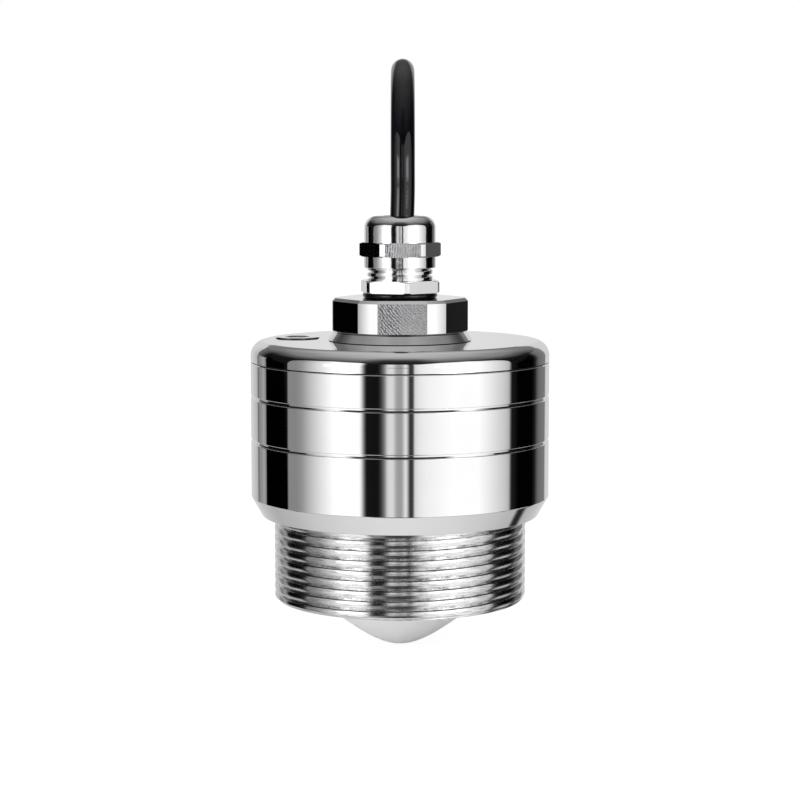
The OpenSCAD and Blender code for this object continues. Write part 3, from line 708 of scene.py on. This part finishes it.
plug = revolve("plug_head", [
    (0, PLUG_Z), (PLUG_R - 0.1, PLUG_Z), (PLUG_R, PLUG_Z + 0.1), (PLUG_R, PLUG_TOP - 0.2),
    *fillet(PLUG_R - 0.2, PLUG_TOP - 0.2, 0.2, 0, 90, 4), (0, PLUG_TOP)
], STEEL, 96, 20)
combine(plug, add_object("socket_cut", *hexagon(SOCKET_AF, SOCKET_Z, 43, 0), STEEL), "DIFFERENCE")
combine(plug, add_object("socket_rim", *hexagon(RIM_AF, RIM_Z, 43, 0), STEEL), "DIFFERENCE")
finish_mesh(plug, 20)
# The head's side walls and the socket's upper walls take the black rubber: painted shade in the
# hole round the head and inside the socket. The socket's floor is satin steel.
plug.data.materials.append(RUBBER)
plug.data.materials.append(SATIN)
for face in plug.data.polygons:
    c, upright = face.center / MM, abs(face.normal.z) < 0.5
    off_axis = math.hypot(c.x, c.y)
    in_socket = off_axis < 3
    if upright and (off_axis > 5 and c.z < PLUG_TOP - 0.05 or in_socket and c.z > RIM_Z):
        face.material_index = 1
    elif in_socket and c.z < RIM_Z:
        face.material_index = 2
plug.data.transform(Matrix.Translation((PLUG[0] * MM, PLUG[1] * MM, 0)))
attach(plug, "root")
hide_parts("socket_plug")

# Wrench adapter

flare = revolve("adapter_foot", [
    (NIPPLE_BORE_R, CAP_FOOT), (NIPPLE_R - 0.6, CAP_FOOT), (NIPPLE_R, CAP_FOOT + 0.6),
    (NIPPLE_R, CAP_TOP), (FLARE_R - 0.3, CAP_TOP), (FLARE_R - 0.3, CAP_TOP + 0.13),
    (FLARE_R - 0.03, CAP_TOP + 0.13), (FLARE_R, CAP_TOP + 0.17),
    (FLARE_NECK_R, CAP_TOP + FLARE_H - 0.45), (ADAPTER_R - 0.06, CAP_TOP + FLARE_H),
    (NIPPLE_BORE_R, CAP_TOP + FLARE_H)
], STEEL, 256, 15)
# The small step under the flare's rim is painted black: painted shade where the flare meets the
# cap.
flare.data.materials.append(PAINTED_GAP_SHADE)
for face in flare.data.polygons:
    c = face.center / MM
    if CAP_TOP < c.z < CAP_TOP + 0.12 and math.hypot(c.x, c.y) > 12:
        face.material_index = 1
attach(flare, "root")
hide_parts("hex_adapter")

block = revolve("adapter_hex", [
    (ENTRY_R, CAP_TOP + FLARE_H), (ADAPTER_R - 0.04, CAP_TOP + FLARE_H),
    (ADAPTER_R, CAP_TOP + FLARE_H + 0.04), (ADAPTER_R, ADAPTER_TOP - ADAPTER_BEVEL),
    (ADAPTER_R - ADAPTER_BEVEL, ADAPTER_TOP), (ENTRY_R, ADAPTER_TOP)
], STEEL, 256, 15)
bar = hexagon(ADAPTER_AF, 40, ADAPTER_TOP, ADAPTER_TURN, ADAPTER_BEVEL)
combine(block, add_object("hex_cut", *bar, STEEL), "INTERSECT")
finish_mesh(block, 12)
mill_front(block, ADAPTER_TURN, MILLED)
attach(block, "root")
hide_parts("hex_adapter")

# Cable gland

gasket_half = (GASKET_TOP - ADAPTER_TOP) / 2
gasket = revolve("gland_ring", [
    (ENTRY_R, ADAPTER_TOP),
    *fillet(ENTRY_R + 0.6, ADAPTER_TOP + gasket_half, gasket_half, -90, 90, 14),
    (ENTRY_R, GASKET_TOP)
], RUBBER, 128, 30)
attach(gasket, "root")
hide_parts("gland_gasket")

body = revolve("gland_hex", [
    (HEX_BORE_R, GASKET_TOP), (HEX_CORNER_R - 0.24, GASKET_TOP), (HEX_CORNER_R, GASKET_TOP + 0.2),
    (HEX_CORNER_R, HEX_TOP - 0.35), (HEX_CORNER_R - 0.69, HEX_TOP), (HEX_BORE_R, HEX_TOP)
], NICKEL_FLAT, 240, 15)
bar = hexagon(HEX_AF, 50, 60, HEX_TURN)
combine(body, add_object("hex_cut", *bar, NICKEL_FLAT), "INTERSECT")
finish_mesh(body, 12)
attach(body, "root")
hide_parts("gland_body")

entry = revolve("gland_tube", [
    (CABLE_WAY_R, ENTRY_Z), (ENTRY_R, ENTRY_Z), (ENTRY_R, HEX_TOP), (TUBE_R, HEX_TOP),
    (TUBE_R, TUBE_TOP), (TUBE_BORE_R, TUBE_TOP), (TUBE_BORE_R, SEAL_FOOT), (CABLE_WAY_R, SEAL_FOOT)
], NICKEL, 96, 20)
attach(entry, "root")
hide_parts("gland_body")

gland_thread = helix(
    "gland_thread", GLAND_R, GLAND_CUT, GLAND_PITCH, GLAND_CREST_Z, HEX_TOP, TUBE_TOP, NICKEL, 96,
    round_crests(12, 0.6, 0.9, 1.4)
)
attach(gland_thread, "root")
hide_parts("gland_body")

nut_low = revolve("nut_round", [
    (NUT_BORE_R, NUT_Z), (NUT_R - 0.1, NUT_Z), (NUT_R + 0.05, NUT_Z + 0.15),
    (NUT_R + 0.05, NUT_HEX_Z + 0.5), (NUT_R, NUT_DOME_Z - 0.3),
    *fillet(NUT_R - NUT_ROUND, NUT_TOP - NUT_ROUND, NUT_ROUND, 0, 90, 12),
    (EXIT_R + EXIT_ROUND, NUT_TOP),
    *fillet(EXIT_R + EXIT_ROUND, NUT_TOP - EXIT_ROUND, EXIT_ROUND, 90, 180, 5),
    (EXIT_R, CONE_TIP_Z), (CONE_TIP_R, CONE_TIP_Z), (CONE_R, CONE_MID_Z), (CONE_R, CONE_Z),
    (NUT_BORE_R, CONE_Z)
], NICKEL, 160, 20)
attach(nut_low, "root")
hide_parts("gland_nut")

nut = revolve("nut_hex", [
    (NUT_BORE_R + 0.05, NUT_HEX_Z), (NUT_CORNER_R - 0.6, NUT_HEX_Z),
    (NUT_CORNER_R, NUT_HEX_Z + 0.3), (NUT_CORNER_R, NUT_DOME_Z - 0.3),
    (NUT_CORNER_R - 0.6, NUT_DOME_Z), (NUT_BORE_R + 0.05, NUT_DOME_Z)
], NICKEL_FLAT, 240, 15)
bar = hexagon(NUT_AF, 58, 66, NUT_TURN)
combine(nut, add_object("hex_cut", *bar, NICKEL_FLAT), "INTERSECT")
finish_mesh(nut, 12)
mill_front(nut, NUT_TURN, MILLED_NUT)
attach(nut, "root")
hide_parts("gland_nut")

# Lens

LENS_STEPS = 48
lens_depth = (math.sqrt(LENS_TIP_R ** 2 + LENS_OPEN * LENS_NECK_R ** 2) - LENS_TIP_R) / LENS_OPEN
lens_heights = [(i / LENS_STEPS) ** 2 * lens_depth for i in range(1, LENS_STEPS + 1)]
lens = revolve("lens_dome", [
    (0, LENS_TIP_Z),
    *[(math.sqrt(2 * LENS_TIP_R * s + LENS_OPEN * s * s), LENS_TIP_Z + s) for s in lens_heights],
    (LENS_NECK_R, LIP_Z), (LENS_EDGE_R, LIP_Z), (LENS_EDGE_R, LENS_TOP_Z), (0, LENS_TOP_Z)
], LENS_MAT, 192, 35)
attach(lens, "root")
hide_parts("lens")

# Materials of the nodes that stay

KEPT = {
    "lens_seal": RUBBER, "lens_retainer": BRASS, "horn": TURNED, "radar_board": BOARD,
    "radar_chip": CHIP, "radar_shield": TINNED, "board_link": CHIP, "board_spacers": BRASS,
    "board_screws": SCREW, "power_board": BOARD, "capacitors": CAN, "transformer": CORE_MAT,
    "terminal_block": TERMINAL, "inner_cores": SLEEVES, "cap_seal": RUBBER, "plug_seal": RUBBER,
    "adapter_seal": RUBBER, "gland_seal": SEAL, "gland_claw": CLAW, "coil_tie": STRAP,
    "tail_cores": SLEEVES, "core_ferrules": TINNED
}
for name, material in KEPT.items():
    mesh = nodes[name].data
    mesh.materials.clear()
    mesh.materials.append(material)

# Floor

FLOOR_GAP = 0.1
PAPER_SHARE, PAPER_GLOW = 0.8, 1.15

floor_mesh = bpy.data.meshes.new("floor")
floor_mesh.from_pydata([(-4, -4, 0), (4, -4, 0), (4, 6, 0), (-4, 6, 0)], [], [(0, 1, 2, 3)])
floor = bpy.data.objects.new("floor", floor_mesh)
floor.location.z = (LENS_TIP_Z - FLOOR_GAP) * MM
bpy.context.scene.collection.objects.link(floor)
floor.visible_glossy = False
ground = Paint("floor_paper")
grain = ground.noise(ground.scaled(300), 3, 0.6)
ground.set(Base_Color=ground.ramp(grain, (0.3, 0.84), (0.7, 0.86)), Roughness=0.9)
white = ground.node("ShaderNodeEmission")
value(white.inputs["Strength"], PAPER_GLOW)
rays = ground.node("ShaderNodeLightPath")
blend = ground.node("ShaderNodeMixShader")
ground.link(ground.math("MULTIPLY", rays.outputs["Is Camera Ray"], PAPER_SHARE), blend.inputs[0])
ground.link(ground.shader.outputs[0], blend.inputs[1])
ground.link(white.outputs[0], blend.inputs[2])
ground.link(blend.outputs[0], ground.tree.nodes["Material Output"].inputs["Surface"])
floor_mesh.materials.append(ground.material)

# Studio: black flags between white softboxes for reflections, plain soft light for the rest

world = bpy.data.worlds.new("studio")
bpy.context.scene.world = world
world.use_nodes = True


class Sky(Paint):
    """The world's nodes, made with the same tools as a material's."""

    def __init__(self, tree):
        self.tree = tree
        self.coords = tree.nodes.new("ShaderNodeTexCoord")


# A ray's direction: turn and rise from 0 to 1 for -180 to 180 and -90 to 90 degrees, and around
# from 0 straight ahead to 1 at the back. Turn 0 degrees is the photograph's side.

sky = Sky(world.node_tree)
direction = sky.node("ShaderNodeSeparateXYZ")
sky.link(sky.coords.outputs["Generated"], direction.inputs[0])
forward = sky.math("MULTIPLY", direction.outputs["Y"], -1.0)
turn = sky.math("ARCTAN2", direction.outputs["X"], forward)
turn = sky.math("ADD", sky.math("DIVIDE", turn, TAU), 0.5)
rise = sky.math("DIVIDE", sky.math("ARCSINE", direction.outputs["Z"]), math.pi / 2)
rise = sky.math("ADD", sky.math("MULTIPLY", rise, 0.5), 0.5)
around = sky.math("MULTIPLY", sky.math("ABSOLUTE", sky.math("SUBTRACT", turn, 0.5)), 2.0)


def el(degrees):
    return (degrees + 90) / 180


def by_turn(*stops):
    """A ramp over the turn in degrees, with at most 32 stops."""
    return sky.ramp(turn, *[((degrees + 180) / 360, c) for degrees, c in stops])


def by_rise(*stops):
    """A ramp over the rise in degrees."""
    return sky.ramp(rise, *[(el(degrees), c) for degrees, c in stops])


def beyond(start, end):
    """0 up to a turn to either side, 1 from the second on."""
    return sky.ramp(around, (start / 180, 0.0), (end / 180, 1.0))


def blend_colours(factor, a, b):
    """A Mix node, whose colours are inputs 6 and 7 and output 2."""
    n = sky.node("ShaderNodeMix", data_type="RGBA")
    sky.link(factor, n.inputs[0])
    sky.link(a, n.inputs[6])
    sky.link(b, n.inputs[7])
    return n.outputs[2]


def times(a, b):
    return sky.math("MULTIPLY", a, b)


# What stands round the gauge, by turn: softboxes and flags, left and right

left = by_turn(
    (-180, 0.8), (-175, 0.68), (-158.6, 0.66), (-147.3, 0.55), (-142.3, 0.48), (-141.2, 0.2),
    (-139.6, 0.12), (-138, 0.25), (-131, 0.32), (-128.8, 0.42), (-127, 0.31), (-124.8, 0.27),
    (-124.1, 0.0004), (-95.4, 0.0004), (-94.6, 0.25), (-86, 0.25), (-80, 0.315), (-68.6, 0.645),
    (-52, 1.1), (-30.2, 1.1), (-28.8, 0.6), (-27.2, 0.17), (-26, 0.008), (-16.3, 0.006),
    (-15.3, 0.018), (-13.7, 0.06), (-11.6, 0.19), (-10.6, 0.4), (-9.1, 0.73), (-5.3, 0.745),
    (-2.8, 0.4), (0, 0.34)
)
right = by_turn(
    (0, 0.34), (1.1, 0.34), (2.6, 0.55), (4.2, 0.84), (5.1, 0.76), (6.4, 0.13), (7.3, 0.03),
    (9.3, 0.032), (10.1, 0.1), (11.1, 0.72), (14.8, 0.87), (20.8, 0.95), (40, 1.1), (62, 1.1),
    (73.8, 0.865), (79.6, 0.75), (86.8, 0.62), (90, 0.53), (92.2, 0.42), (93.1, 0.015),
    (102, 0.0004), (121.8, 0.0006), (123, 0.005), (126.4, 0.014), (131.8, 0.125), (134, 0.155),
    (143.3, 0.2), (147.5, 0.19), (149.5, 0.5), (151.2, 0.66), (175, 0.68), (180, 0.8)
)
side = blend_colours(sky.math("GREATER_THAN", turn, 0.5), left, right)

# What hangs above, by rise, ahead and further round

ahead = by_rise(
    (22, 0.02), (28, 0.012), (40, 0.025), (46, 0.04), (50, 0.06), (56, 0.13), (62, 0.22),
    (68, 0.36), (74, 0.42), (90, 0.52)
)
flank = by_rise(
    (27, 0.02), (31, 0.03), (36, 0.1), (42, 0.15), (50, 0.22), (60, 0.33), (68, 0.4), (76, 0.46),
    (90, 0.52)
)
beside = by_rise(
    (18, 0.006), (25, 0.012), (30, 0.065), (36, 0.12), (41, 0.21), (52, 0.28), (62, 0.4), (90, 0.52)
)
behind = by_rise(
    (8, 0.26), (16, 0.24), (24, 0.19), (30, 0.19), (35, 0.23), (43, 0.33), (50, 0.44), (58, 0.5),
    (90, 0.54)
)
upper = blend_colours(beyond(16, 38), ahead, flank)
upper = blend_colours(beyond(72, 98), upper, beside)
upper = blend_colours(beyond(128, 152), upper, behind)

# The rise at which the upper field starts over each turn, and a dark rim along one part of it

EDGE_SHARPNESS, RIM_SHARPNESS = 110.0, 40.0
edge = by_turn(*[(degrees, el(height)) for degrees, height in (
    (-180, 12), (-175, 13), (-165, 19.5), (-160, 22), (-151.5, 22), (-146, 16.7), (-142.8, 9.3),
    (-141.5, 5.5), (-126, 5.5), (-120, 11), (-95.5, -8), (-92, 12), (-86, 18), (-79, 22.5),
    (-56, 29.5), (-33, 28), (-18, 21), (14, 20), (33, 28), (56, 29.5), (79, 22.5), (86, 18),
    (91, 12), (94.5, -8), (126, 22), (148, 22), (150, 10), (152.4, 17.4), (155.4, 21.9),
    (170, 20.5), (175, 14.5), (180, 11)
)])
above_edge = sky.math("SUBTRACT", rise, edge)
is_high = sky.math("MULTIPLY_ADD", above_edge, EDGE_SHARPNESS, 0.5)
is_high.node.use_clamp = True
rim = sky.ramp(sky.math("MULTIPLY_ADD", above_edge, RIM_SHARPNESS, 0.5),
               (0.5, 1.0), (0.6, 0.1), (0.9, 0.1), (1.0, 1.0))
rimless = by_turn((-157, 1.0), (-154, 0.0), (-143, 0.0), (-140, 1.0))
studio = blend_colours(is_high, side, times(upper, sky.math("MAXIMUM", rim, rimless)))

# The table below, which reaches higher at the back, with a dark slit at the right

low = by_rise(
    (-90, 0.79), (-70, 0.77), (-62, 0.73), (-50, 0.62), (-41, 0.5), (-32, 0.45), (-23, 0.56),
    (-14, 0.66)
)
is_low = by_rise((-40, 1.0), (-34, 0.0))
is_low_back = times(by_rise((-22, 1.0), (-14, 0.0)), beyond(95, 108))
slit = by_turn((125.5, 1.0), (128.5, 0.05), (134.5, 0.05), (138.5, 1.0))
studio = blend_colours(sky.math("MAXIMUM", is_low, is_low_back), studio, times(low, slit))

# The table's dark edge straight ahead, which the middle of the thread reflects

table_edge = by_turn(
    (-29, 1.0), (-26.5, 0.34), (-12, 0.3), (-9, 0.14), (6, 0.13), (14, 0.2), (24, 1.0)
)
off_edge = by_rise((-60, 1.0), (-56, 0.0), (-14, 0.0), (-10, 1.0))
studio = times(studio, sky.math("MAXIMUM", table_edge, off_edge))
on_edge = by_rise((-60, 0.0), (-56, 1.0), (-14, 1.0), (-10, 0.0))
lit_strip = by_turn((-28.5, 0.0), (-27, 0.26), (-16, 0.26), (-12, 0.0))
studio = sky.math("MAXIMUM", studio, times(on_edge, lit_strip))

# Two bright strips for the cable, and a dark one for the gland

CABLE_GLOW, GLAND_SHADE = 3.0, -0.72
glow = times(
    by_rise((-1.7, 0.0), (-1.3, 1.0), (8, 1.0), (10, 0.0)),
    by_turn((-60, 0.0), (-53, 1.0), (-38, 1.0), (-32, 0.0),
            (26, 0.0), (35, 1.0), (52, 1.0), (60, 0.0))
)
studio = times(studio, sky.math("MULTIPLY_ADD", glow, CABLE_GLOW, 1.0))
shade = times(
    by_rise((-4.3, 0.0), (-3.9, 1.0), (-1.6, 1.0), (-1.2, 0.0)),
    by_turn((-10.5, 0.0), (-9, 1.0), (5.6, 1.0), (6.4, 0.0))
)
studio = times(studio, sky.math("MULTIPLY_ADD", shade, GLAND_SHADE, 1.0))

# Glossy rays see that studio, the camera a white background, and the rest plain light

PLAIN_LIGHT = 0.8
rays = sky.node("ShaderNodeLightPath")
plain = sky.node("ShaderNodeBackground")
value(plain.inputs["Color"], (PLAIN_LIGHT, PLAIN_LIGHT, PLAIN_LIGHT, 1))
mirror = sky.node("ShaderNodeBackground")
sky.link(studio, mirror.inputs["Color"])
paper = sky.node("ShaderNodeBackground")
value(paper.inputs["Color"], (1, 1, 1, 1))
value(paper.inputs["Strength"], 1.0)
lighting = sky.node("ShaderNodeMixShader")
sky.link(rays.outputs["Is Glossy Ray"], lighting.inputs[0])
sky.link(plain.outputs[0], lighting.inputs[1])
sky.link(mirror.outputs[0], lighting.inputs[2])
whole = sky.node("ShaderNodeMixShader")
seen = sky.math("MAXIMUM", rays.outputs["Is Camera Ray"], rays.outputs["Is Transmission Ray"])
sky.link(seen, whole.inputs[0])
sky.link(lighting.outputs[0], whole.inputs[1])
sky.link(paper.outputs[0], whole.inputs[2])
sky.link(whole.outputs[0], world.node_tree.nodes["World Output"].inputs["Surface"])


def softbox(name, at, toward, size, power):
    """A square lamp, which no gloss shows."""
    data = bpy.data.lights.new(name, "AREA")
    data.shape = "SQUARE"
    data.size = size
    data.energy = power
    lamp = bpy.data.objects.new(name, data)
    lamp.location = at
    lamp.rotation_euler = (Vector(toward) - Vector(at)).to_track_quat("-Z", "Y").to_euler()
    lamp.visible_glossy = False
    bpy.context.scene.collection.objects.link(lamp)


softbox("left_softbox", at=(-0.7, -0.6, 0.6), toward=(0, 0, 0.02), size=0.6, power=1.6)
softbox("top_softbox", at=(0.2, 0.1, 0.9), toward=(0, 0, 0.02), size=0.6, power=1.2)
softbox("low_softbox", at=(-0.26, -0.38, 0.0), toward=(0, 0, -0.03), size=0.16, power=1.1)

bpy.context.scene.view_settings.view_transform = "Standard"
